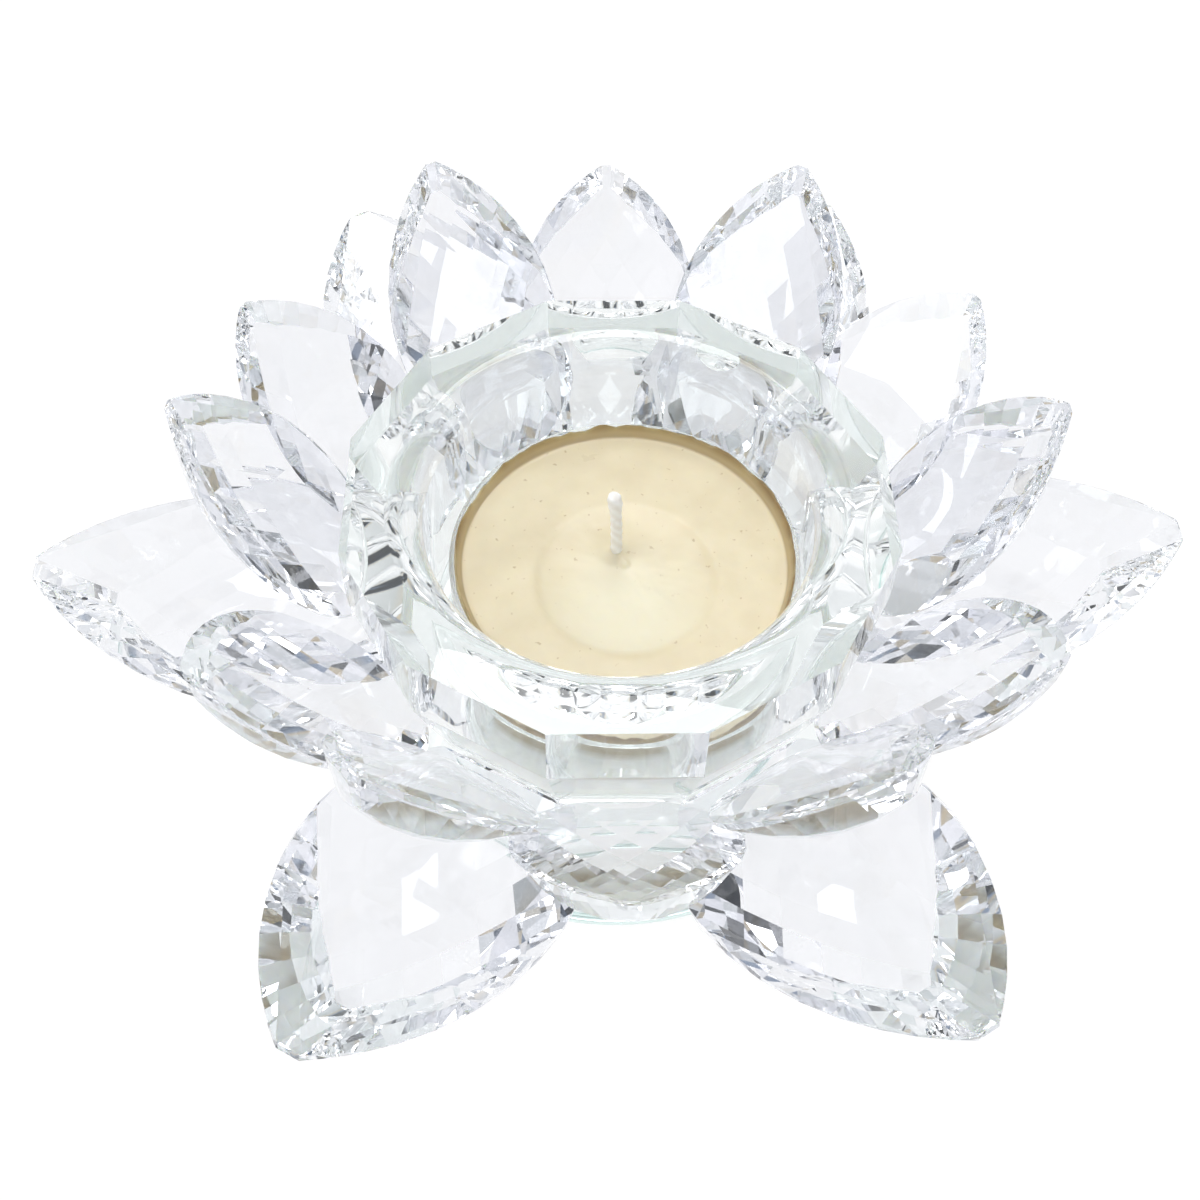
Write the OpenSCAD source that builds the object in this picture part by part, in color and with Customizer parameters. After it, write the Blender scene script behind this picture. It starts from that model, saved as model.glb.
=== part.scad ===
// Crystal lotus tealight holder: a twelve-sided glass cup on a hub and a round foot,
// three rings of six faceted petals, and a loose tealight in the cup.
// Millimetres. +Z is up, the origin is the centre of the foot's underside.

/* [Foot and hub] */
// Radius of the round foot disc
foot_r = 30.6; // [26:0.1:34]
// Thickness of the foot disc
foot_h = 3.5; // [2:0.1:6]
// Radius of the hub between foot and cup
hub_r = 21; // [16:0.5:23]

/* [Cup] */
// Height of the cup's rim above the table
rim_z = 39.2; // [34:0.1:46]
// Corner radius of the twelve-sided rim
rim_corner_r = 29.6; // [27:0.1:33]
// Height of the upright band under the rim
band_h = 8.5; // [4:0.1:12]
// Corner radius at the cup's underside
cup_base_r = 23.4; // [20:0.1:28]
// Height of the cup's underside above the table
cup_base_z = 12.2; // [8:0.1:16]
// Radius of the tealight bore
bore_r = 20.7; // [20:0.1:22]
// Depth of the bore below the rim
bore_depth = 23; // [18:0.1:26]
// Radius of the rounded lip at the bore's mouth
lip_round = 3.8; // [1:0.1:4.5]
// Radius of the rounded corner at the bore's floor
floor_round = 3; // [0.5:0.1:4]

/* [Upper petals] */
// Length from tip to base
upper_len = 34.2; // [26:0.1:38]
// Half of the greatest width
upper_half_w = 10.2; // [8:0.1:12]
// Distance of the tips from the axis
upper_tip_r = 45.2; // [40:0.1:52]
// Height of the tips above the table
upper_tip_z = 50.4; // [44:0.1:56]
// Rise of the petals from level, degrees
upper_tilt = 58.3; // [45:0.1:70]

/* [Middle petals] */
// Length from tip to base
middle_len = 31.8; // [26:0.1:38]
// Half of the greatest width
middle_half_w = 11.2; // [8:0.1:12.5]
// Distance of the tips from the axis
middle_tip_r = 47.4; // [42:0.1:54]
// Height of the tips above the table
middle_tip_z = 44.8; // [38:0.1:50]
// Rise of the petals from level, degrees
middle_tilt = 46.9; // [35:0.1:60]

/* [Lower petals] */
// Length from tip to base
lower_len = 40; // [32:0.1:44]
// Half of the greatest width
lower_half_w = 14.1; // [12:0.1:17]
// Distance of the tips from the axis
lower_tip_r = 62.8; // [56:0.1:70]
// Height of the tips above the table
lower_tip_z = 31.2; // [24:0.1:38]
// Rise of the petals from level, degrees
lower_tilt = 18.4; // [8:0.1:30]

/* [Tealight] */
// Outer radius of the clear tealight cup
tea_r = 19.3; // [19:0.1:20]
// Height of the clear tealight cup
tea_h = 12; // [9:0.1:16]
// Radius of the clear tealight cup's rounded bottom edge
tea_round = 2.4; // [1:0.1:3]
// Wall thickness of the clear tealight cup
tea_wall = 0.5; // [0.3:0.05:1]
// Distance from the tealight cup's edge down to the wax
wax_drop = 1.2; // [0.5:0.1:3]
// Height of the wick above the wax
wick_h = 10; // [4:0.5:12]
// Radius of the wick
wick_r = 0.78; // [0.4:0.02:1]
// Sideways rest position of the loose tealight in the bore
tea_shift = 0.8; // [0:0.1:1]
// Distance of the wick from the middle of the wax, to the left
wick_left = 0.9; // [0:0.1:3]
// Distance of the wick from the middle of the wax, to the back
wick_back = 1.5; // [0:0.1:3]

/* [Hidden] */
// fineness of round surfaces
$fn = 96;
// number of petals in one ring and of rim facets
ring_n = 6;
facet_n = 12;
step_a = 360 / ring_n;
half_step = step_a / 2;
corner_a = 180 / facet_n;
// small break of the foot's edges
edge_break = 0.5;
// petal proportions: thickness against width, widest station against length
upper_thick = 5.2;
middle_thick = 5.6;
lower_thick = 9;
widest = 0.58;
widest_lower = 0.65;
// facet rows from the middle of a petal's underside to its edge
rows_small = 6;
rows_large = 7;
// dome size against the leaf outline
dome_long = 1.18;
dome_wide = 1.08;
// blunt half width of the tips
blunt_small = 0.6;
blunt_large = 1.2;
// slope of the two crescent bevels, degrees
bevel_a = 18;
// slope of the underside next to the girdle, degrees, and the girdle's height against the half width
flank_a = 52;
girdle_ratio = 0.054;
// station where a bevel meets the outline, against the widest station
bevel_end = 0.74;
// extra length of the rounded base that the flat end cuts away
cut_small = 0.8;
cut_large = 3.5;
// outline points on one side of a leaf
arc_n = 9;
// tealight clearances and wick sustainer
rest_gap = 0.2;
fit_gap = 0.05;
glue_gap = 0.1;
sustainer_r = 6.5;
sustainer_t = 0.3;
neck_r = 1.3;
neck_h = 3;
// derived heights
bore_z = rim_z - bore_depth;
tea_z = bore_z + rest_gap;
wax_z0 = tea_z + tea_wall + fit_gap;
wax_z1 = tea_z + tea_h - wax_drop;
wax_r = tea_r - tea_wall - fit_gap;
wick_z0 = wax_z0 + sustainer_t + fit_gap;
wick_z1 = wax_z1 + wick_h;
big = 60;

// turn of each petal about the axis after gluing by hand, degrees
upper_turn = [3, 1.2, -2.4, -3.9, -1, 1];
middle_turn = [1, 0.7, 0.4, 1.4, -0.1, 0];
lower_turn = [1.2, 3, 1.3, 2.6, 1.3, 0.2];

glass = [0.86, 0.9, 0.92, 0.55];
glass_cool = [0.84, 0.87, 0.95, 0.55];
clear = [0.93, 0.95, 0.95, 0.4];
wax_color = [0.91, 0.86, 0.72];
wick_color = [0.96, 0.95, 0.92];
metal = [0.72, 0.73, 0.74];

// ---- petal ----

// radius of the arc that starts at a tip and is level at the widest station
function arc_r(run, w) = (run * run + w * w) / (2 * w);

// half width of the leaf at distance u from its tip
function leaf_w(u, um, w, reach) =
    u < um
    ? sqrt(pow(arc_r(um, w), 2) - pow(um - u, 2)) - (arc_r(um, w) - w)
    : w * sqrt(max(0, 1 - pow((u - um) / (reach - um), 2)));

// distance from the tip at which the leaf has half width b
function tip_u(b, um, w) =
    um - sqrt(pow(arc_r(um, w), 2) - pow(b + arc_r(um, w) - w, 2));

// number of a lattice point, rows alternate between m + 1 and m points
function lattice_id(i, j, m) =
    floor((i + m) / 2) * (2 * m + 1) + ((i + m) % 2 == 1 ? m + 1 : 0) + floor((j + m) / 2);

// bowl with a flat top and a curved underside of flat diamond facets
module diamond_dome(a, b, depth, m) {
    dx = a / m;
    dy = b / m;
    top = depth + 2;
    low = [for (i = [-m:m]) for (j = [-m:m]) if ((i + j + 2 * m) % 2 == 0)
        [i * dx, j * dy, -depth * (1 - pow(i / m, 2) - pow(j / m, 2))]];
    ring = concat(
        [for (j = [-m:2:m]) lattice_id(-m, j, m)],
        [for (i = [-m + 2:2:m]) lattice_id(i, m, m)],
        [for (j = [m - 2:-2:-m]) lattice_id(m, j, m)],
        [for (i = [m - 2:-2:-m + 2]) lattice_id(i, -m, m)]);
    count = len(low);
    rn = len(ring);
    high = [for (k = ring) [low[k][0], low[k][1], top]];
    inner = [for (i = [-m + 1:m - 1]) for (j = [-m + 1:m - 1]) if ((i + j + 2 * m) % 2 == 1)
        [lattice_id(i - 1, j, m), lattice_id(i, j - 1, m),
            lattice_id(i + 1, j, m), lattice_id(i, j + 1, m)]];
    edge_a = [for (j = [-m + 1:2:m - 1])
        [lattice_id(-m, j - 1, m), lattice_id(-m + 1, j, m), lattice_id(-m, j + 1, m)]];
    edge_b = [for (j = [-m + 1:2:m - 1])
        [lattice_id(m, j + 1, m), lattice_id(m - 1, j, m), lattice_id(m, j - 1, m)]];
    edge_c = [for (i = [-m + 1:2:m - 1])
        [lattice_id(i + 1, -m, m), lattice_id(i, -m + 1, m), lattice_id(i - 1, -m, m)]];
    edge_d = [for (i = [-m + 1:2:m - 1])
        [lattice_id(i - 1, m, m), lattice_id(i, m - 1, m), lattice_id(i + 1, m, m)]];
    sides = [for (k = [0:rn - 1]) [ring[k], ring[(k + 1) % rn], count + (k + 1) % rn, count + k]];
    lid = [for (k = [0:rn - 1]) [count + k, count + (k + 1) % rn, count + rn]];
    polyhedron(
        points = concat(low, high, [[0, 0, top]]),
        faces = concat(inner, edge_a, edge_b, edge_c, edge_d, sides, lid));
}

// leaf outline with a blunt tip near x = 0 and a flat end at x = -length
function leaf_points(length, w, um, blunt, cut) =
    let (
        u0 = tip_u(blunt, um, w),
        reach = length + cut,
        front = [for (k = [0:arc_n]) u0 + (um - u0) * (1 - cos(90 * k / arc_n))],
        back = [for (k = [1:arc_n]) um + (length - um) * sin(90 * k / arc_n)],
        us = concat(front, back),
        last = len(us) - 1)
    concat(
        [for (u = us) [-u, leaf_w(u, um, w, reach)]],
        [for (k = [0:last]) [-us[last - k], -leaf_w(us[last - k], um, w, reach)]]);

// leaf-shaped slab that runs down to a point: a thin girdle with slopes under it
module leaf_boat(length, w, um, blunt, cut, top, girdle) {
    pts = leaf_points(length, w, um, blunt, cut);
    count = len(pts);
    keel = girdle + w * tan(flank_a);
    polyhedron(
        points = concat(
            [for (q = pts) [q[0], q[1], top]],
            [for (q = pts) [q[0], q[1], -girdle]],
            [[-um, 0, -keel], [-um, 0, top]]),
        faces = concat(
            [for (k = [0:count - 1]) [k, (k + 1) % count, count + (k + 1) % count, count + k]],
            [for (k = [0:count - 1]) [count + k, count + (k + 1) % count, 2 * count]],
            [for (k = [0:count - 1]) [(k + 1) % count, k, 2 * count + 1]]));
}

// wedge above one crescent bevel, on the +Y side
module bevel_wedge(w, um, blunt, reach) {
    u0 = tip_u(blunt, um, w);
    u1 = um * bevel_end;
    w1 = leaf_w(u1, um, w, reach);
    translate([-u0, blunt, 0])
        rotate([0, 0, atan2(blunt - w1, u1 - u0)])
            rotate([-bevel_a, 0, 0])
                translate([-big, 0, 0])
                    cube([2 * big, big, big]);
}

// uncut petal: tip at the origin, body towards -X, flat top at the height given
module petal_blank(length, w, thick, um, rows, blunt, cut, top) {
    intersection() {
        translate([-length / 2, 0, 0])
            diamond_dome(dome_long * length / 2, dome_wide * w, thick, rows);
        leaf_boat(length, w, um, blunt, cut, top, girdle_ratio * w);
    }
}

// one petal with its flat top at z = 0 and a bevel along each front edge
module petal(length, w, thick, um, rows, blunt, cut) {
    difference() {
        petal_blank(length, w, thick, um, rows, blunt, cut, 0);
        bevel_wedge(w, um, blunt, length + cut);
        mirror([0, 1, 0])
            bevel_wedge(w, um, blunt, length + cut);
    }
}

// places a petal with its tip at radius r and height z, rising outwards by tilt
module at_tip(r, z, tilt, turn) {
    rotate([0, 0, turn])
        translate([r, 0, z])
            rotate([0, -tilt, 0])
                children();
}

module upper_petal(k) {
    color(glass_cool)
        at_tip(upper_tip_r, upper_tip_z, upper_tilt, k * step_a + upper_turn[k])
            petal(upper_len, upper_half_w, upper_thick, upper_len * widest,
                rows_small, blunt_small, cut_small);
}

// clearance shape of an upper petal and of the space over it, a glue gap wider
module upper_seat(k) {
    j = k % ring_n;
    at_tip(upper_tip_r, upper_tip_z, upper_tilt, k * step_a + upper_turn[j])
        translate([0, 0, -glue_gap])
            petal_blank(upper_len, upper_half_w + glue_gap, upper_thick,
                upper_len * widest, rows_small, blunt_small, cut_small, upper_thick);
}

// a middle petal, ground away where the two upper petals beside it lie on it
module middle_petal(k) {
    color(glass_cool)
        difference() {
            at_tip(middle_tip_r, middle_tip_z, middle_tilt, k * step_a + half_step + middle_turn[k])
                petal(middle_len, middle_half_w, middle_thick, middle_len * widest,
                    rows_small, blunt_small, cut_small);
            upper_seat(k);
            upper_seat(k + 1);
        }
}

module lower_petal(k) {
    color(glass_cool)
        at_tip(lower_tip_r, lower_tip_z, lower_tilt, k * step_a + lower_turn[k])
            petal(lower_len, lower_half_w, lower_thick, lower_len * widest_lower,
                rows_large, blunt_large, cut_large);
}

// ---- cup, hub and foot ----

// outside of the cup: a twelve-sided prism with one flat facing +X, tapered below its band
module cup_block() {
    rim_flat = rim_corner_r * cos(corner_a);
    base_flat = cup_base_r * cos(corner_a);
    band_z = rim_z - band_h;
    taper = atan2(rim_flat - base_flat, band_z - cup_base_z);
    difference() {
        translate([0, 0, cup_base_z])
            rotate([0, 0, corner_a])
                cylinder(r = rim_corner_r, h = rim_z - cup_base_z, $fn = facet_n);
        for (k = [0:facet_n - 1])
            rotate([0, 0, 2 * corner_a * k])
                translate([rim_flat, 0, band_z])
                    rotate([0, taper, 0])
                        translate([0, -big / 2, -big])
                            cube([big, big, big + band_h / 2]);
    }
}

// half section of the tealight bore with rounded lip and floor corner
module bore_section() {
    arc_steps = 10;
    lip = [for (k = [0:arc_steps]) let (t = 90 * k / arc_steps)
        [bore_r + lip_round * (1 - cos(t)), rim_z - lip_round + lip_round * sin(t)]];
    corner = [for (k = [0:arc_steps]) let (t = 90 * k / arc_steps)
        [bore_r - floor_round + floor_round * sin(t), bore_z + floor_round * (1 - cos(t))]];
    polygon(concat(
        [[0, bore_z]],
        corner,
        lip,
        [[bore_r + lip_round, rim_z + 1], [0, rim_z + 1]]));
}

module cup() {
    color(glass)
        difference() {
            cup_block();
            rotate_extrude()
                bore_section();
        }
}

module hub() {
    color(glass)
        translate([0, 0, foot_h])
            cylinder(r = hub_r, h = cup_base_z - foot_h);
}

module foot() {
    color(glass)
        rotate_extrude()
            polygon([[0, 0], [foot_r - edge_break, 0], [foot_r, edge_break],
                [foot_r, foot_h - edge_break], [foot_r - edge_break, foot_h], [0, foot_h]]);
}

// ---- tealight ----

module in_bore() {
    translate([tea_shift, 0, 0])
        children();
}

// lifts a piece to height z on the wick's axis
module at_wick(z) {
    translate([-wick_left, wick_back, z])
        children();
}

// upright round body with a rounded bottom edge
module round_cup(r, z0, z1, edge) {
    arc_steps = 8;
    rotate_extrude()
        polygon(concat(
            [[0, z0]],
            [for (k = [0:arc_steps]) let (t = 90 * k / arc_steps)
                [r - edge + edge * sin(t), z0 + edge * (1 - cos(t))]],
            [[r, z1], [0, z1]]));
}

module tealight_cup() {
    color(clear)
        in_bore()
            difference() {
                round_cup(tea_r, tea_z, tea_z + tea_h, tea_round);
                round_cup(tea_r - tea_wall, tea_z + tea_wall, tea_z + tea_h + 1, tea_round - tea_wall);
            }
}

module wax() {
    color(wax_color)
        in_bore()
            difference() {
                round_cup(wax_r, wax_z0, wax_z1, tea_round - tea_wall);
                at_wick(wax_z0 - 1)
                    cylinder(r = sustainer_r + fit_gap, h = 1 + sustainer_t + fit_gap);
                at_wick(wax_z0 - 1)
                    cylinder(r = neck_r + fit_gap, h = 1 + neck_h + fit_gap);
                at_wick(wax_z0)
                    cylinder(r = wick_r + fit_gap, h = wax_z1);
            }
}

module wick_sustainer() {
    color(metal)
        in_bore()
            difference() {
                union() {
                    at_wick(wax_z0)
                        cylinder(r = sustainer_r, h = sustainer_t);
                    at_wick(wax_z0)
                        cylinder(r = neck_r, h = neck_h);
                }
                at_wick(wick_z0 - fit_gap)
                    cylinder(r = wick_r + fit_gap, h = neck_h + 1);
            }
}

module wick() {
    color(wick_color)
        in_bore()
            at_wick(wick_z0)
                cylinder(r = wick_r, h = wick_z1 - wick_z0);
}

// which sub-part to draw

cup();
hub();
foot();
upper_petal(0);  // upper_petal_1
upper_petal(1);  // upper_petal_2
upper_petal(2);  // upper_petal_3
upper_petal(3);  // upper_petal_4
upper_petal(4);  // upper_petal_5
upper_petal(5);  // upper_petal_6
middle_petal(0);  // middle_petal_1
middle_petal(1);  // middle_petal_2
middle_petal(2);  // middle_petal_3
middle_petal(3);  // middle_petal_4
middle_petal(4);  // middle_petal_5
middle_petal(5);  // middle_petal_6
lower_petal(0);  // lower_petal_1
lower_petal(1);  // lower_petal_2
lower_petal(2);  // lower_petal_3
lower_petal(3);  // lower_petal_4
lower_petal(4);  // lower_petal_5
lower_petal(5);  // lower_petal_6
tealight_cup();
wax();
wick_sustainer();
wick();
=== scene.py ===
import math
from itertools import product

import bmesh
import bpy
from mathutils import Matrix, Vector, noise


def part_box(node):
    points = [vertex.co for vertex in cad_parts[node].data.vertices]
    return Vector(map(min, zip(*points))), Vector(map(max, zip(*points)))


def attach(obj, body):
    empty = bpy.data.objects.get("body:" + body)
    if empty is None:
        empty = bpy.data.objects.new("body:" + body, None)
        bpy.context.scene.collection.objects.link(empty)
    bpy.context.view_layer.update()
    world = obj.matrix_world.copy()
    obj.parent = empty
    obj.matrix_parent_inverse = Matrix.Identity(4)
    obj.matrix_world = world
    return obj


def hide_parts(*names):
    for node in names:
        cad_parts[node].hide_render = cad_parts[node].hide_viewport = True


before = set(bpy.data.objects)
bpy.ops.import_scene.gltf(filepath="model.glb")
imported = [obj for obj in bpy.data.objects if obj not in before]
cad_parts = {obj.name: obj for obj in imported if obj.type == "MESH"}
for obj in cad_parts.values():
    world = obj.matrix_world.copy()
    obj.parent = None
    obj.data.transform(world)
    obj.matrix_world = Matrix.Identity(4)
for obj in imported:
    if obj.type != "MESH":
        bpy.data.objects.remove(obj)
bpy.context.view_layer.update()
MM = 0.001
TINY = 1e-6

# ---------------------------------------------------------------- places read from the frame

# how a petal's flat top and its tip are told from the rest of its CAD mesh
UPWARD = 0.3
NORMAL_DIGITS = 2
ON_TOP = 0.02
AT_TIP = 0.05


def node_verts(name):
    """Corners of a CAD node's mesh in millimetres."""
    return [v.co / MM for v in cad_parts[name].data.vertices]


def box_mm(name):
    """Lowest and highest corner of a CAD node in millimetres."""
    lo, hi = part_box(name)
    return Vector(lo) / MM, Vector(hi) / MM


def petal_frame(name):
    """Tip frame of a CAD petal: origin at the tip, X outwards along the flat top, Z its normal."""
    tops = {}
    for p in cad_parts[name].data.polygons:
        if p.normal.z > UPWARD:
            key = tuple(round(c, NORMAL_DIGITS) for c in p.normal)
            tops.setdefault(key, [0.0, Vector((0, 0, 0)), p.center / MM])
            tops[key][0] += p.area
            tops[key][1] += p.normal * p.area
    largest = max(tops.values(), key=lambda top: top[0])
    total, on_top = largest[1:]
    up = total.normalized()
    flat = [v for v in node_verts(name) if abs((v - on_top).dot(up)) < ON_TOP]
    reach = max(v.xy.length for v in flat)
    ends = [v for v in flat if v.xy.length > reach - AT_TIP]
    tip = sum(ends, Vector()) / len(ends)
    radial = Vector((tip.x, tip.y, 0)).normalized()
    out = (radial - up * radial.dot(up)).normalized()
    side = up.cross(out)
    m = Matrix((out, side, up)).transposed().to_4x4()
    m.translation = tip
    return m


FOOT_LO, FOOT_HI = box_mm("foot")
HUB_LO, HUB_HI = box_mm("hub")
CUP_LO, CUP_HI = box_mm("cup")
TEA_LO, TEA_HI = box_mm("tealight_cup")
WAX_LO, WAX_HI = box_mm("wax")
WICK_LO, WICK_HI = box_mm("wick")
SUST_LO, SUST_HI = box_mm("wick_sustainer")
CUP_SIDES = 12
HALF_SIDE = 180 / CUP_SIDES
RIM_Z = CUP_HI.z
RIM_FLAT = CUP_HI.x
RIM_CORNER = RIM_FLAT / math.cos(math.radians(HALF_SIDE))
TEA_X = (TEA_LO.x + TEA_HI.x) / 2
WICK_X = (WICK_LO.x + WICK_HI.x) / 2
WICK_Y = (WICK_LO.y + WICK_HI.y) / 2
WICK_R = (WICK_HI.x - WICK_LO.x) / 2
WAX_GAP = 0.06
WAX_R = (WAX_HI.x - WAX_LO.x) / 2 - WAX_GAP
DIMPLE_R, DIMPLE_Y = 0.53 * WAX_R, -2.2

# ---------------------------------------------------------------- mesh helpers

SAME_POINT = 1e-4
BLOCK = 90.0
MERGE = 2e-3


def finish_mesh(name, bm, body, nodes, mat):
    """Turns a bmesh in millimetres into a piece that stands for its CAD nodes."""
    bmesh.ops.scale(bm, vec=(MM, MM, MM), verts=bm.verts)
    bmesh.ops.recalc_face_normals(bm, faces=bm.faces)
    mesh = bpy.data.meshes.new(name)
    bm.to_mesh(mesh)
    bm.free()
    mesh.materials.append(mat)
    obj = bpy.data.objects.new(name, mesh)
    bpy.context.scene.collection.objects.link(obj)
    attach(obj, body)
    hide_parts(*nodes)
    return obj


def start_block():
    """Faces of a big cube round the origin, as lists of corners."""
    s = BLOCK
    corner = [Vector((x, y, z)) for x in (-s, s) for y in (-s, s) for z in (-s, s)]
    quads = [(0, 1, 3, 2), (4, 6, 7, 5), (0, 4, 5, 1), (2, 3, 7, 6), (0, 2, 6, 4), (1, 5, 7, 3)]
    return [[corner[i].copy() for i in q] for q in quads]


def cut(faces, n, d):
    """Keeps the part of a convex body with n.p <= d, and closes it with a flat face."""
    if all(n.dot(p) <= d + TINY for f in faces for p in f):
        return faces
    kept = []
    for f in faces:
        out = []
        for i, b in enumerate(f):
            a = f[i - 1]
            da, db = n.dot(a) - d, n.dot(b) - d
            if (da > TINY and db < -TINY) or (da < -TINY and db > TINY):
                out.append(a.lerp(b, da / (da - db)))
            if db <= TINY:
                out.append(b)
        if len(out) >= 3:
            kept.append(out)
    cap = []
    for f in kept:
        for p in f:
            if abs(n.dot(p) - d) < SAME_POINT and all((p - c).length > SAME_POINT for c in cap):
                cap.append(p)
    if len(cap) >= 3:
        mid = sum(cap, Vector()) / len(cap)
        e1 = n.orthogonal().normalized()
        e2 = n.cross(e1)
        cap.sort(key=lambda p: math.atan2((p - mid).dot(e2), (p - mid).dot(e1)))
        kept.append(cap)
    return kept


def convex_body(planes):
    """Faces of the body inside all the half spaces."""
    faces = start_block()
    for n, d in planes:
        faces = cut(faces, n, d)
    return faces


def faces_to_bmesh(faces):
    """Mesh of a convex body. Corners that nearly meet become one, and a face left without area goes."""
    bm = bmesh.new()
    cache = {}

    def vert(p):
        key = tuple(round(c / MERGE) for c in p)
        for step in product((0, -1, 1), repeat=3):
            cell = tuple(c + d for c, d in zip(key, step))
            if cell in cache and (cache[cell].co - p).length < MERGE:
                return cache[cell]
        cache[key] = bm.verts.new(p)
        return cache[key]

    for f in faces:
        ring = []
        for p in f:
            v = vert(p)
            if not ring or (v is not ring[-1] and v is not ring[0]):
                ring.append(v)
        if len(ring) >= 3:
            try:
                bm.faces.new(ring)
            except ValueError:
                pass
    return bm


def world_planes(planes, m):
    """Half spaces in a local frame, moved to the world frame."""
    rot = m.to_3x3()
    moved = []
    for n, d in planes:
        w = rot @ n
        moved.append((w, d + w.dot(m.translation)))
    return moved


def revolve(bm, profile, steps, cx=0.0, cy=0.0, wobble=None):
    """Turns a half section (radius, z) about the vertical axis at (cx, cy). Ends on the axis are closed."""
    rings = []
    for k, (r, z) in enumerate(profile):
        if r < TINY:
            rings.append([bm.verts.new((cx, cy, z))])
            continue
        ring = []
        for s in range(steps):
            a = 2 * math.pi * s / steps
            rr, zz = wobble(k, r, z, a) if wobble else (r, z)
            ring.append(bm.verts.new((cx + rr * math.cos(a), cy + rr * math.sin(a), zz)))
        rings.append(ring)
    for lower, upper in zip(rings, rings[1:]):
        for s in range(steps):
            t = (s + 1) % steps
            corners = []
            for ring, at in ((lower, s), (lower, t), (upper, t), (upper, s)):
                v = ring[at % len(ring)]
                if v not in corners:
                    corners.append(v)
            bm.faces.new(corners).smooth = True
    return rings


def arc(cx, cz, r, a0, a1, steps):
    """Points (radius, z) on a circular arc, angles in degrees."""
    pts = []
    for k in range(steps + 1):
        a = math.radians(a0 + (a1 - a0) * k / steps)
        pts.append((cx + r * math.cos(a), cz + r * math.sin(a)))
    return pts


# ---------------------------------------------------------------- materials


def set_inputs(tree, node, inputs):
    """Sets a node's inputs: an output socket is linked, anything else is the input's value."""
    for key, value in inputs.items():
        if isinstance(value, bpy.types.NodeSocket):
            tree.links.new(value, node.inputs[key])
        else:
            node.inputs[key].default_value = value


def add_node(tree, kind, inputs, **settings):
    """New node with its settings made first, because they decide which inputs it has."""
    node = tree.nodes.new(kind)
    for key, value in settings.items():
        setattr(node, key, value)
    set_inputs(tree, node, inputs)
    return node


def noise_field(tree, where, scale, detail):
    """Cloudy noise through the object."""
    node = add_node(tree, "ShaderNodeTexNoise", {"Vector": where, "Scale": scale, "Detail": detail})
    return node.outputs["Fac"]


def ramp(tree, source, stops):
    """Colour that runs through the stops (position, colour) as the source rises."""
    node = add_node(tree, "ShaderNodeValToRGB", {"Fac": source})
    elements = node.color_ramp.elements
    for element, (position, color) in zip(elements, (stops[0], stops[-1])):
        element.position = position
        element.color = (*color, 1)
    for position, color in stops[1:-1]:
        elements.new(position).color = (*color, 1)
    return node.outputs["Color"]


def remap(tree, source, low, high, start=0.0, end=1.0):
    """The source's range from low to high, stretched to run from start to end and held there."""
    limits = {"From Min": low, "From Max": high, "To Min": start, "To Max": end}
    return add_node(tree, "ShaderNodeMapRange", {"Value": source, **limits}).outputs["Result"]


def blend(tree, amount, a, b, **settings):
    """Colour a where the amount is 0 and b where it is 1."""
    inputs = {"Factor": amount, "A": a, "B": b}
    return add_node(tree, "ShaderNodeMix", inputs, data_type="RGBA", **settings).outputs["Result"]


def dents(tree, source, strength, distance):
    """Surface normal that follows the source as a height."""
    inputs = {"Height": source, "Strength": strength, "Distance": distance}
    return add_node(tree, "ShaderNodeBump", inputs).outputs["Normal"]


def radial_mask(tree, where, centre, start, end):
    """0 to 1 as the level distance from a centre goes from start to end, all in millimetres."""
    middle = (centre[0] * MM, centre[1] * MM, 0)
    off = add_node(tree, "ShaderNodeVectorMath", {0: where, 1: middle}, operation="SUBTRACT")
    level = {0: off.outputs["Vector"], 1: (1, 1, 0)}
    flat = add_node(tree, "ShaderNodeVectorMath", level, operation="MULTIPLY")
    reach = add_node(tree, "ShaderNodeVectorMath", {0: flat.outputs["Vector"]}, operation="LENGTH")
    return remap(tree, reach.outputs["Value"], start * MM, end * MM)


def node_material(name):
    """New material, its node tree, its main shader and a point's place on the object."""
    mat = bpy.data.materials.new(name)
    mat.use_nodes = True
    tree = mat.node_tree
    where = tree.nodes.new("ShaderNodeTexCoord").outputs["Object"]
    return mat, tree, tree.nodes["Principled BSDF"], where


POLISH_LOW, POLISH_HIGH = 0.45, 0.75
GLASS_DENT = 0.0002


def glass(name, tint, vary, absorb, density, rough=0.012, ior=1.52, bump=0.02):
    """Clear glass: faint colour variation and polish marks from noise, tint from its depth."""
    mat, tree, bsdf, where = node_material(name)
    cloud = noise_field(tree, where, 60.0, 3.0)
    polish = noise_field(tree, where, 900.0, 4.0)
    shaded = [c * vary for c in tint]
    surface = {
        "Transmission Weight": 1.0,
        "IOR": ior,
        "Base Color": ramp(tree, cloud, [(0, shaded), (1, tint)]),
        "Roughness": remap(tree, polish, POLISH_LOW, POLISH_HIGH, 0.0, rough),
        "Normal": dents(tree, cloud, bump, GLASS_DENT),
    }
    set_inputs(tree, bsdf, surface)
    inside = {"Color": (*absorb, 1), "Density": density}
    depth = add_node(tree, "ShaderNodeVolumeAbsorption", inside)
    set_inputs(tree, tree.nodes["Material Output"], {"Volume": depth.outputs["Volume"]})
    return mat


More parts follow.
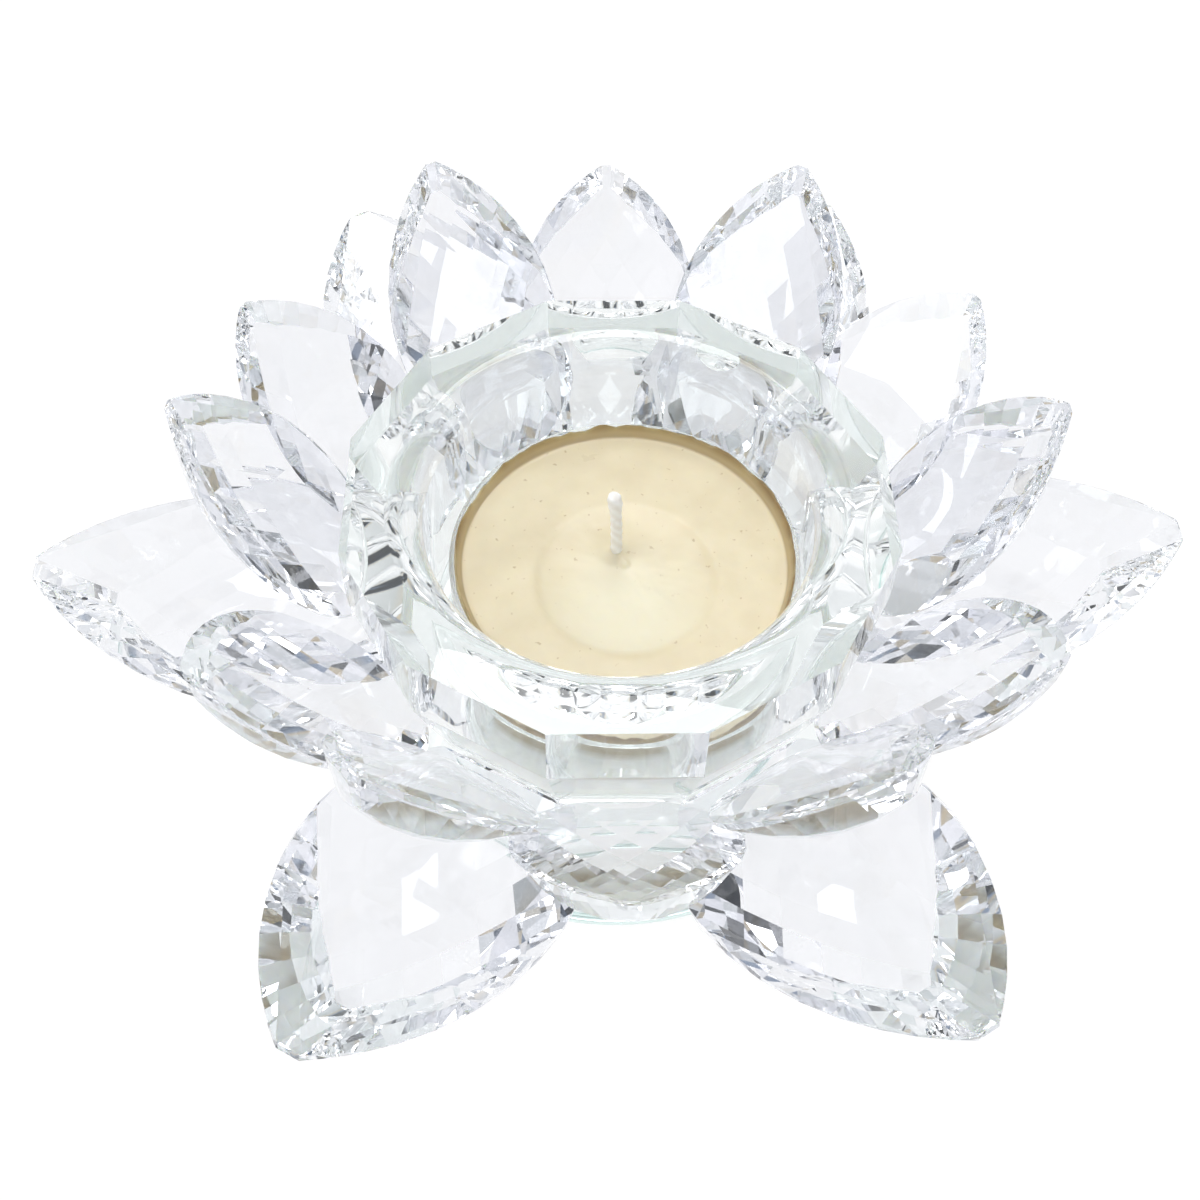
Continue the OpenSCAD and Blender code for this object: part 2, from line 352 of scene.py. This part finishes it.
# the plastic's index is lower than a real one's, which would turn its thin wall dark
PLASTIC_IOR = 1.12
CUP_GLASS = glass("cup_glass", (0.93, 0.945, 0.943), 0.985, (0.8, 0.88, 0.88), 1.0)
PETAL_GLASS = glass("petal_glass", (0.905, 0.912, 0.938), 0.985, (0.8, 0.88, 0.86), 1.0)
FOOT_GLASS = glass("foot_glass", (0.95, 0.97, 0.97), 0.99, (0.45, 0.8, 0.75), 6.0)
CLEAR_PLASTIC = glass(
    "clear_plastic", (0.95, 0.955, 0.95), 0.985, (0.8, 0.8, 0.7), 4.0, rough=0.05, ior=PLASTIC_IOR, bump=0.05
)

CREAM_DEEP, CREAM = (0.715, 0.625, 0.43), (0.79, 0.705, 0.50)
# the second colour on the next line is a painted highlight for the front of the wax bowl
SPECK, BOWL_HIGHLIGHT, PALE_SIDE = (0.55, 0.44, 0.26, 1), (0.81, 0.76, 0.58, 1), (0.86, 0.86, 0.82, 1)
# painted shade: the tan and the brown below darken the film of wax along the cup wall, brown towards its top
FILM_SHADE, FILM_TOP_SHADE = (0.46, 0.37, 0.21), (0.22, 0.15, 0.07)
FILM_IN, FILM_OUT = 0.85, 0.7
# heights over the wax top across which the painted shade on the film turns from tan to brown
TOP_SHADE_FROM, TOP_SHADE_TO = 0.7, 1.7
PALE_FROM, PALE_TO = 0.9, 2.4


def wax_material():
    """Cream wax with specks, a painted highlight on the front of its melted bowl, painted shade on the film
    that is tan and brown on top, and a pale side.
    """
    mat, tree, bsdf, where = node_material("candle_wax")
    height = add_node(tree, "ShaderNodeSeparateXYZ", {"Vector": where}).outputs["Z"]
    cloud = noise_field(tree, where, 180.0, 5.0)
    cream = ramp(tree, cloud, [(0.3, CREAM_DEEP), (0.75, CREAM)])
    specks = ramp(tree, noise_field(tree, where, 1100.0, 2.0), [(0.68, (0, 0, 0)), (0.74, (1, 1, 1))])
    color = blend(tree, specks, cream, SPECK)
    # painted highlight: a paler patch in the dimpled bowl, strongest towards the camera side of the wax
    dimple = radial_mask(tree, where, (TEA_X, DIMPLE_Y), DIMPLE_R + 0.2, DIMPLE_R - 0.6)
    front = radial_mask(tree, where, (TEA_X, 3 * DIMPLE_Y), DIMPLE_R + 1, 3.0)
    bowl = add_node(tree, "ShaderNodeMath", {0: dimple, 1: front}, operation="MULTIPLY")
    color = blend(tree, bowl.outputs["Value"], color, BOWL_HIGHLIGHT)
    # painted shade: the film along the wall is darkened to tan, and to brown towards its top
    edge = remap(tree, height, (WAX_HI.z + TOP_SHADE_FROM) * MM, (WAX_HI.z + TOP_SHADE_TO) * MM)
    film = radial_mask(tree, where, (TEA_X, 0), WAX_R - FILM_IN, WAX_R - FILM_OUT)
    color = blend(tree, film, color, ramp(tree, edge, [(0, FILM_SHADE), (1, FILM_TOP_SHADE)]))
    below = remap(tree, height, (WAX_HI.z - PALE_FROM) * MM, (WAX_HI.z - PALE_TO) * MM)
    surface = {
        "Base Color": blend(tree, below, color, PALE_SIDE),
        "Subsurface Weight": 0.35,
        "Subsurface Radius": (0.004, 0.003, 0.0015),
        "Subsurface Scale": 0.6,
        "Roughness": remap(tree, cloud, 0.0, 1.0, 0.22, 0.42),
        "Normal": dents(tree, cloud, 0.25, 0.0002),
    }
    set_inputs(tree, bsdf, surface)
    return mat


def cotton_material():
    """White cotton with diagonal bands for its strands."""
    mat, tree, bsdf, where = node_material("cotton")
    inputs = {"Vector": where, "Scale": 400.0, "Distortion": 3.0}
    weave = add_node(tree, "ShaderNodeTexWave", inputs, bands_direction="DIAGONAL").outputs["Fac"]
    surface = {
        "Base Color": ramp(tree, weave, [(0, (0.9, 0.87, 0.82)), (1, (0.98, 0.97, 0.94))]),
        "Roughness": remap(tree, weave, 0.0, 1.0, 0.45, 0.7),
        "Normal": dents(tree, weave, 0.4, 0.0001),
    }
    set_inputs(tree, bsdf, surface)
    return mat


def tin_material():
    """Dull grey metal with a fine grain."""
    mat, tree, bsdf, where = node_material("tin")
    grain = noise_field(tree, where, 700.0, 2.0)
    surface = {
        "Metallic": 1.0,
        "Base Color": ramp(tree, grain, [(0, (0.6, 0.61, 0.62)), (1, (0.78, 0.78, 0.79))]),
        "Roughness": remap(tree, grain, 0.0, 1.0, 0.2, 0.4),
    }
    set_inputs(tree, bsdf, surface)
    return mat


# ---------------------------------------------------------------- petals

PETAL = {
    "upper": dict(length=34.2, w=10.2, thick=5.2, widest=0.58, rows=6, blunt=0.6, cut=0.8),
    "middle": dict(length=31.8, w=11.2, thick=5.6, widest=0.58, rows=6, blunt=0.6, cut=0.8),
    "lower": dict(length=40.0, w=14.1, thick=9.0, widest=0.65, rows=7, blunt=1.2, cut=3.5),
}
DOME_LONG, DOME_WIDE = 1.18, 1.08
BEVEL = math.radians(18)
FLANK = math.radians(52)
GIRDLE = 0.054
BEVEL_END = 0.74
GLUE = 0.05
OUTLINE_STEPS = 9
PER_RING = 6
LEAST_SHARED = 0.05


def leaf_w(u, um, w, reach):
    """Half width of a leaf at distance u from its tip."""
    if u < um:
        r = (um * um + w * w) / (2 * w)
        return math.sqrt(r * r - (um - u) ** 2) - (r - w)
    return w * math.sqrt(max(0.0, 1 - ((u - um) / (reach - um)) ** 2))


def blunt_run(s):
    """Distance from the sharp tip, where the two edges would meet, to the blunt one."""
    um, w = s["length"] * s["widest"], s["w"]
    r = (um * um + w * w) / (2 * w)
    return um - math.sqrt(r * r - (s["blunt"] + r - w) ** 2)


def petal_planes(s):
    """Half spaces (outward normal, offset) of one petal in its tip frame."""
    um = s["length"] * s["widest"]
    w, reach = s["w"], s["length"] + s["cut"]
    u0 = blunt_run(s)
    steps = OUTLINE_STEPS
    us = [u0 + (um - u0) * (1 - math.cos(math.pi / 2 * k / steps)) for k in range(steps + 1)]
    us += [um + (s["length"] - um) * math.sin(math.pi / 2 * k / steps) for k in range(1, steps + 1)]
    planes = [(Vector((0, 0, 1)), 0.0), (Vector((1, 0, 0)), -u0), (Vector((-1, 0, 0)), s["length"])]
    girdle = GIRDLE * w
    keel = Vector((-um, 0, -girdle - w * math.tan(FLANK)))

    def flank(p, q):
        """Slope under the girdle edge p to q, which runs down to the keel point."""
        n = (p - keel).cross(q - keel).normalized()
        if n.z > 0:
            n = -n
        planes.append((n, n.dot(keel)))

    flank(Vector((-u0, -s["blunt"], -girdle)), Vector((-u0, s["blunt"], -girdle)))
    end = leaf_w(s["length"], um, w, reach)
    flank(Vector((-s["length"], -end, -girdle)), Vector((-s["length"], end, -girdle)))
    for a, b in zip(us, us[1:]):
        wa, wb = leaf_w(a, um, w, reach), leaf_w(b, um, w, reach)
        if math.hypot(b - a, wb - wa) < TINY:
            continue
        for sign in (1, -1):
            n = Vector((wb - wa, sign * (b - a), 0)).normalized()
            planes.append((n, n.dot(Vector((-a, sign * wa, 0)))))
            flank(Vector((-a, sign * wa, -girdle)), Vector((-b, sign * wb, -girdle)))
    u1 = um * BEVEL_END
    w1 = leaf_w(u1, um, w, reach)
    for sign in (1, -1):
        h = Vector((w1 - s["blunt"], sign * (u1 - u0), 0)).normalized()
        n = h * math.sin(BEVEL) + Vector((0, 0, math.cos(BEVEL)))
        planes.append((n, n.dot(Vector((-u0, sign * s["blunt"], 0)))))
    a, b = DOME_LONG * s["length"] / 2, DOME_WIDE * w
    depth, m = s["thick"], s["rows"]
    for i in range(-m + 1, m):
        for j in range(-m + 1, m):
            if (i + j) % 2 == 0:
                continue
            x, y = a * i / m, b * j / m
            low = -depth * (1 - (i / m) ** 2 - (j / m) ** 2 - 1 / m**2)
            n = Vector((2 * depth * x / a**2, 2 * depth * y / b**2, -1))
            n /= n.length
            planes.append((n, n.dot(Vector((x - s["length"] / 2, y, low)))))
    return planes


def place_petals():
    """Half spaces of every petal, each one where its CAD node is."""
    petals = {}
    for ring, sizes in PETAL.items():
        for k in range(1, PER_RING + 1):
            name = f"{ring}_petal_{k}"
            m = petal_frame(name)
            m.translation += m.to_3x3() @ Vector((blunt_run(sizes), 0, 0))
            petals[name] = world_planes(petal_planes(sizes), m)
    return petals


def thinnest_cut(faces, points):
    """Middle plane of a convex body, across the face normal along which the body is thinnest."""
    best = None
    for f in faces:
        n = (f[1] - f[0]).cross(f[2] - f[0])
        if n.length < 1e-9:
            continue
        n.normalize()
        reach = [n.dot(p) for p in points]
        width = max(reach) - min(reach)
        if best is None or width < best[0]:
            best = (width, n, (max(reach) + min(reach)) / 2)
    return best[1:]


def grind_petals(petals):
    """Neighbouring petals that would share space are both ground flat where they meet."""
    names = list(petals)
    for i, a in enumerate(names):
        for b in names[i + 1 :]:
            shared = convex_body(petals[a] + petals[b])
            points = [p for f in shared for p in f]
            if len(points) < 4:
                continue
            mid = sum(points, Vector()) / len(points)
            if max((p - mid).length for p in points) < LEAST_SHARED:
                continue
            n, d = thinnest_cut(shared, points)
            corners = [p for f in convex_body(petals[a]) for p in f]
            if n.dot(sum(corners, Vector()) / len(corners)) > d:
                n, d = -n, -d
            petals[a].append((n, d - GLUE))
            petals[b].append((-n, -d - GLUE))


def build_petals():
    """One piece for each petal node."""
    petals = place_petals()
    grind_petals(petals)
    for name, planes in petals.items():
        bm = faces_to_bmesh(convex_body(planes))
        finish_mesh(f"glass_{name}", bm, "holder", [name], PETAL_GLASS)


build_petals()

# ---------------------------------------------------------------- cup, hub and foot

BAND_H = 8.5
BASE_CORNER = 23.4
BORE_R, BORE_DEPTH = 20.7, 23.0
BORE_FLAT = (0, 6, 12)
BORE_TAPER, BORE_STRAIGHT = 0.06, 6
LIP, BORE_FILLET = 3.8, 3.0
HUB_EDGE, FOOT_EDGE = 0.3, 0.5
TURN_STEPS = 192
DISC_STEPS = 160


def build_cup():
    """Tapered twelve-sided block under an upright band, with a round bore and a rounded lip."""
    bm = bmesh.new()
    steps = TURN_STEPS
    per = steps // CUP_SIDES
    bore_z = RIM_Z - BORE_DEPTH
    profile = [(r, bore_z) for r in BORE_FLAT]
    profile += arc(BORE_R - BORE_FILLET, bore_z + BORE_FILLET, BORE_FILLET, -90, 0, 12)
    profile += [(BORE_R + BORE_TAPER, RIM_Z - LIP - BORE_STRAIGHT)]
    profile += arc(BORE_R + LIP, RIM_Z - LIP, LIP, 180, 90, 16)
    rings = revolve(bm, profile, steps)
    rim = rings[-1]
    for f in bm.faces:
        if all(abs(v.co.z - bore_z) < TINY for v in f.verts):
            f.smooth = False
    levels = [(RIM_CORNER, RIM_Z), (RIM_CORNER, RIM_Z - BAND_H), (BASE_CORNER, CUP_LO.z)]
    outer = []
    for r, z in levels:
        ring = []
        for k in range(CUP_SIDES):
            a = math.radians(HALF_SIDE + 2 * HALF_SIDE * k)
            ring.append(bm.verts.new((r * math.cos(a), r * math.sin(a), z)))
        outer.append(ring)
    for hi, lo in zip(outer, outer[1:]):
        for k in range(CUP_SIDES):
            t = (k + 1) % CUP_SIDES
            bm.faces.new((hi[k], lo[k], lo[t], hi[t]))
    bm.faces.new(outer[-1][::-1])
    for k in range(CUP_SIDES):
        start = (per // 2 + per * k) % steps
        inner = [rim[(start + s) % steps] for s in range(per + 1)]
        bm.faces.new([outer[0][k], outer[0][(k + 1) % CUP_SIDES]] + inner[::-1])
    return finish_mesh("glass_cup", bm, "holder", ["cup"], CUP_GLASS)


def build_disc(name, node, mat, lo, hi, edge):
    """Solid round block with rounded edges and flat faces."""
    bm = bmesh.new()
    r = hi.x
    profile = arc(r - edge, lo.z + edge, edge, -90, 0, 4)
    profile += arc(r - edge, hi.z - edge, edge, 0, 90, 4)
    rings = revolve(bm, profile, DISC_STEPS)
    bm.faces.new(rings[0][::-1])
    bm.faces.new(rings[-1])
    return finish_mesh(name, bm, "holder", [node], mat)


build_cup()
GLUE_GAP = Vector((0, 0, GLUE))
build_disc("glass_hub", "hub", CUP_GLASS, HUB_LO + GLUE_GAP, HUB_HI - GLUE_GAP, HUB_EDGE)
build_disc("glass_foot", "foot", FOOT_GLASS, FOOT_LO, FOOT_HI, FOOT_EDGE)

# ---------------------------------------------------------------- tealight

TEA_R = (TEA_HI.x - TEA_LO.x) / 2
TEA_WALL, TEA_EDGE = 0.5, 2.4
TEA_BEND_STEPS = 8
WAX_LIFT = 0.36
FILM_RISE = 0.35
POOL_EDGE, POOL_RINGS = 1.3, 40
STEP_DEPTH, STEP_OUT, STEP_RUN = 0.2, 0.5, 1.2
BOWL_DEPTH = 0.55


def build_tealight_cup():
    """Thin clear cup with a rounded bottom edge and a rounded lip."""
    bm = bmesh.new()
    z0, z1 = TEA_LO.z, TEA_HI.z
    inner = TEA_R - TEA_WALL
    bend = TEA_EDGE - TEA_WALL
    out_arc = arc(TEA_R - TEA_EDGE, z0 + TEA_EDGE, TEA_EDGE, -90, 0, TEA_BEND_STEPS)
    in_arc = arc(inner - TEA_EDGE + TEA_WALL, z0 + TEA_EDGE, bend, 0, -90, TEA_BEND_STEPS)
    lip = arc(TEA_R - TEA_WALL / 2, z1 - TEA_WALL / 2, TEA_WALL / 2, 0, 180, TEA_BEND_STEPS)
    profile = [(0, z0)] + out_arc + lip + in_arc + [(0, z0 + TEA_WALL)]
    revolve(bm, profile, TURN_STEPS, TEA_X)
    return finish_mesh("clear_tealight_cup", bm, "tealight", ["tealight_cup"], CLEAR_PLASTIC)


def pool_height(r, a):
    """Height of the wax surface over its flat level: a stepped bowl, a mound at the wick and ripples."""
    here = Vector((r * math.cos(a), r * math.sin(a), 0))
    near = (here - Vector((WICK_X - TEA_X, WICK_Y, 0))).length
    off = (here - Vector((0, DIMPLE_Y, 0))).length
    t = max(0.0, min(1.0, (DIMPLE_R + STEP_OUT - off) / STEP_RUN))
    z = -STEP_DEPTH * t * t * (3 - 2 * t) - BOWL_DEPTH * (1 - min(1.0, off / DIMPLE_R) ** 2)
    z += 0.85 * math.exp(-((near / 1.15) ** 2)) + 0.3 * math.exp(-((near / 2.6) ** 2))
    return z + 0.06 * noise.noise(here * 0.35) + 0.02 * noise.noise(here * 1.1)


def round_noise(a, turns, level):
    """Noise that runs smoothly once round the axis. More turns give shorter waves."""
    return noise.noise(Vector((math.cos(a) * turns, math.sin(a) * turns, level)))


def build_wax():
    """Wax disc with a dimpled pool, and a wavy film that stands up along the wall of its cup."""
    bm = bmesh.new()
    top, low = WAX_HI.z, SUST_LO.z + WAX_LIFT
    edge = TEA_EDGE - TEA_WALL
    film_top = TEA_HI.z + FILM_RISE
    side = [(0, low)] + arc(WAX_R - edge, low + edge, edge, -90, 0, 6)
    crest = [(WAX_R, film_top), (WAX_R - 0.14, film_top + 0.04), (WAX_R - 0.26, film_top - 0.3)]
    film = crest + [(WAX_R - 0.5, top + 0.4), (WAX_R - FILM_OUT, top + 0.05), (WAX_R - FILM_IN, top)]
    pool_r = WAX_R - POOL_EDGE
    pool = [(pool_r - pool_r * k / POOL_RINGS, top) for k in range(POOL_RINGS + 1)]
    first = len(side)

    def wobble(k, r, z, a):
        if k < first:
            return r, z
        n = round_noise(a, 2.4, 0.3)
        n += 0.5 * round_noise(a, 7, 1.3)
        if k < first + len(crest):
            n += 0.5 * round_noise(a, 19, 2.3)
            return r, z + 0.8 * n - 0.15
        if k < first + len(film):
            return r - 0.1 - 0.15 * n, z
        return r, z + pool_height(r, a)

    revolve(bm, side + film + pool, TURN_STEPS, TEA_X, wobble=wobble)
    return finish_mesh("cream_wax", bm, "tealight", ["wax"], wax_material())


WICK_ROWS, WICK_STEPS = 90, 24
WICK_WAIST, WICK_BULB, BULB_AT, BULB_RUN = 0.86, 0.22, 0.93, 0.05
END_FROM, END_RUN, END_LEAST = 0.975, 0.025, 0.05
STRANDS, BRAID_RISE, BRAID_DEPTH = 1.5, 2.6, 0.1
WICK_LEAN = 0.45


def wick_radius(t, z, a):
    """Radius of the braid at height z, a share t of the way up, in the direction a."""
    swell = WICK_WAIST + WICK_BULB * math.exp(-(((t - BULB_AT) / BULB_RUN) ** 2))
    end = math.sqrt(max(0.0, 1 - max(0.0, (t - END_FROM) / END_RUN) ** 2))
    strand = abs(math.sin(STRANDS * a + z * BRAID_RISE)) * abs(math.sin(STRANDS * a - z * BRAID_RISE))
    return WICK_R * (0.9 + BRAID_DEPTH * strand) * swell * max(end, END_LEAST)


def build_wick():
    """Braided wick with a bulb near its rounded end, which leans a little to the left."""
    bm = bmesh.new()
    height = WICK_HI.z - WICK_LO.z
    rings = []
    for k in range(WICK_ROWS + 1):
        t = k / WICK_ROWS
        z = WICK_LO.z + height * t
        lean = -WICK_LEAN * max(0.0, (z - WAX_HI.z) / (WICK_HI.z - WAX_HI.z)) ** 2
        ring = []
        for s in range(WICK_STEPS):
            a = 2 * math.pi * s / WICK_STEPS
            r = wick_radius(t, z, a)
            ring.append(bm.verts.new((WICK_X + lean + r * math.cos(a), WICK_Y + r * math.sin(a), z)))
        rings.append(ring)
    for lower, upper in zip(rings, rings[1:]):
        for s in range(WICK_STEPS):
            t = (s + 1) % WICK_STEPS
            bm.faces.new((lower[s], lower[t], upper[t], upper[s])).smooth = True
    bm.faces.new(rings[0][::-1])
    bm.faces.new(rings[-1])
    return finish_mesh("braided_wick", bm, "tealight", ["wick"], cotton_material())


def build_sustainer():
    """Flat tin disc with a short neck round the wick."""
    bm = bmesh.new()
    z0, neck = SUST_LO.z, SUST_HI.z
    r = (SUST_HI.x - SUST_LO.x) / 2
    hole, plate = WICK_R + 0.04, 0.3
    profile = [(hole, z0), (r, z0), (r, z0 + plate), (2.0, z0 + plate), (1.4, z0 + 0.55)]
    profile += [(1.3, neck - 0.1), (1.2, neck), (hole, neck)]
    revolve(bm, profile + [profile[0]], 64, WICK_X, WICK_Y)
    bmesh.ops.remove_doubles(bm, verts=bm.verts, dist=1e-5)
    return finish_mesh("tin_sustainer", bm, "tealight", ["wick_sustainer"], tin_material())


build_tealight_cup()
build_wax()
build_wick()
build_sustainer()

# ---------------------------------------------------------------- studio


# sizes and places in the studio are in metres
FLOOR_SIZE, FLOOR_DROP = 40.0, 0.00002
BRIGHT_R, GREY_R = 0.26, 1.0
STUDIO_LIGHT = 0.94
LIGHT_AIM = (0, 0, 0.03)
FLOOR_TONES = [
    (0, (1, 1, 1)),
    (0.12, (0.74, 0.76, 0.76)),
    (0.35, (0.84, 0.85, 0.86)),
    (0.5, (0.6, 0.62, 0.62)),
    (1, (0.74, 0.75, 0.76)),
]
ROOM_RISE = [(0.0, (0.70, 0.71, 0.74)), (0.25, (0.92, 0.92, 0.96)), (0.7, (1.02, 1.02, 1.04))]
ROOM_PATCHES = [
    (0.4, (0.07, 0.075, 0.08)),
    (0.42, (0.3, 0.38, 0.5)),
    (0.435, (0.72, 0.6, 0.4)),
    (0.46, (0.66, 0.69, 0.68)),
    (0.51, (0.88, 0.9, 0.9)),
    (0.6, (1.16, 1.16, 1.16)),
]
BACKDROP = (0.9, 0.905, 0.91, 1)


def build_floor():
    """Glowing floor, white round the object and grey bands farther out for the facets to show."""
    bm = bmesh.new()
    bmesh.ops.create_circle(bm, cap_ends=True, segments=96, radius=FLOOR_SIZE)
    for v in bm.verts:
        v.co.z = -FLOOR_DROP
    mesh = bpy.data.meshes.new("studio_floor")
    bm.to_mesh(mesh)
    bm.free()
    mat, tree, bsdf, where = node_material("studio_floor")
    away = add_node(tree, "ShaderNodeVectorMath", {0: where}, operation="LENGTH")
    fall = remap(tree, away.outputs["Value"], BRIGHT_R, GREY_R)
    surface = {
        "Base Color": (0.08, 0.08, 0.08, 1),
        "Roughness": 0.6,
        "Specular IOR Level": 0.2,
        "Emission Color": ramp(tree, fall, FLOOR_TONES),
        "Emission Strength": STUDIO_LIGHT,
    }
    set_inputs(tree, bsdf, surface)
    mesh.materials.append(mat)
    floor = bpy.data.objects.new("studio_floor", mesh)
    bpy.context.scene.collection.objects.link(floor)


def area_light(name, place, size, power):
    """White softbox that faces the object."""
    data = bpy.data.lights.new(name, "AREA")
    data.shape = "RECTANGLE"
    data.size, data.size_y = size
    data.energy = power
    obj = bpy.data.objects.new(name, data)
    obj.location = place
    obj.rotation_mode = "QUATERNION"
    obj.rotation_quaternion = (Vector(LIGHT_AIM) - Vector(place)).to_track_quat("-Z", "Y")
    bpy.context.scene.collection.objects.link(obj)


def build_world():
    """Pale room, brighter above, whose grey and few dark and tinted patches show only in the glass."""
    world = bpy.data.worlds.new("studio")
    bpy.context.scene.world = world
    world.use_nodes = True
    tree = world.node_tree
    where = tree.nodes.new("ShaderNodeTexCoord").outputs["Generated"]
    height = add_node(tree, "ShaderNodeSeparateXYZ", {"Vector": where}).outputs["Z"]
    rise = ramp(tree, height, ROOM_RISE)
    patches = ramp(tree, noise_field(tree, where, 3.1, 2.0), ROOM_PATCHES)
    room = blend(tree, 1.0, rise, patches, blend_type="MULTIPLY")
    seen = tree.nodes.new("ShaderNodeLightPath").outputs["Is Camera Ray"]
    background = {"Color": blend(tree, seen, room, BACKDROP), "Strength": STUDIO_LIGHT}
    set_inputs(tree, tree.nodes["Background"], background)


build_floor()
build_world()
area_light("softbox_top", (0.05, 0.2, 0.75), (0.36, 0.36), 2.2)
area_light("softbox_left", (-0.7, -0.1, 0.45), (0.35, 0.5), 1.4)

# ---------------------------------------------------------------- camera

EL = math.radians(51.28)
YAW = math.radians(3.137)
ROLL = math.radians(2.19)
DISTANCE = 162.33
BOUNCES = 48
cam_data = bpy.data.cameras.new("camera")
cam_data.sensor_width = 36
cam_data.lens = 46.68
cam_data.shift_x, cam_data.shift_y = -0.0168, -0.0888
cam_data.clip_start, cam_data.clip_end = 0.01, 100
camera = bpy.data.objects.new("camera", cam_data)
bpy.context.scene.collection.objects.link(camera)
turn = Matrix.Rotation(-YAW, 3, "Z")
forward = turn @ Vector((0, math.cos(EL), -math.sin(EL)))
upward = turn @ Vector((0, math.sin(EL), math.cos(EL)))
right = turn @ Vector((1, 0, 0))
cam_right = right * math.cos(ROLL) + upward * math.sin(ROLL)
cam_up = upward * math.cos(ROLL) - right * math.sin(ROLL)
pose = Matrix((cam_right, cam_up, -forward)).transposed().to_4x4()
pose.translation = (Vector((0, 0, RIM_Z)) - forward * DISTANCE) * MM
camera.matrix_world = pose
scene = bpy.context.scene
scene.camera = camera
scene.view_settings.view_transform = "Standard"
# light that is reflected inside the glass counts as a glossy bounce, so both limits are high
scene.cycles.max_bounces = BOUNCES
scene.cycles.transmission_bounces = BOUNCES
scene.cycles.glossy_bounces = BOUNCES
scene.cycles.diffuse_bounces = 2
scene.cycles.blur_glossy = 0.0
scene.cycles.adaptive_threshold = 0.03
scene.cycles.caustics_refractive = True
scene.cycles.caustics_reflective = True
